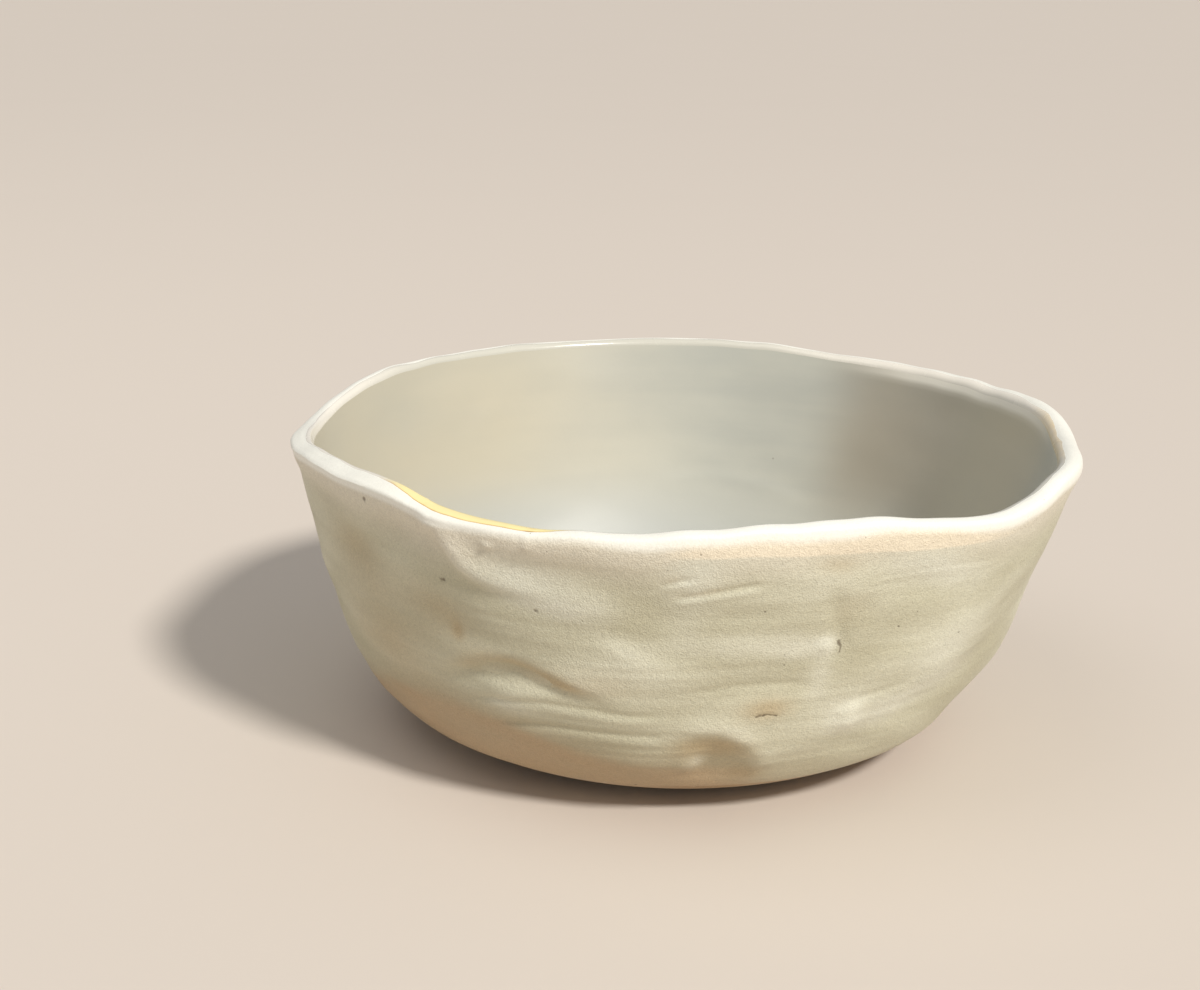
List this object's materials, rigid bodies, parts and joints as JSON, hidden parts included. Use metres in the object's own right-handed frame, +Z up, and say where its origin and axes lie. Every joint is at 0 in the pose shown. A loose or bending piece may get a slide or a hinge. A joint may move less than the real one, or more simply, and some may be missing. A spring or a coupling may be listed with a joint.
{
  "type": "serving bowl",
  "caption": "Hand-built round ceramic serving bowl: low full belly, flaring wall, uneven rounded lip, flat foot; satin glaze outside, glossy liner inside.",
  "frame": {"origin": "on the table that the bowl stands on, under the middle of the mouth's outline", "axes": "+Z up out of the bowl's mouth, +X to the bowl's right and +Y to its back as it was pictured"},
  "size_m": [0.23, 0.2305, 0.0924],
  "materials": {
    "bare_clay": "unglazed fired stoneware",
    "clay_wall": "unglazed fired stoneware under glaze",
    "satin_glaze": "satin sage-cream glaze with fine grain and iron specks, breaking to cream over the lip",
    "gloss_liner": "glossy grey-cream glaze",
    "honey_line": "glossy honey glaze"
  },
  "bodies": {
    "root": {"base_slab": "bare_clay", "lower_wall": "clay_wall", "upper_wall": "clay_wall", "rim_coil": "clay_wall", "outer_glaze": "satin_glaze", "liner_glaze": "gloss_liner", "rim_line": "honey_line"}
  },
  "joints": []
}
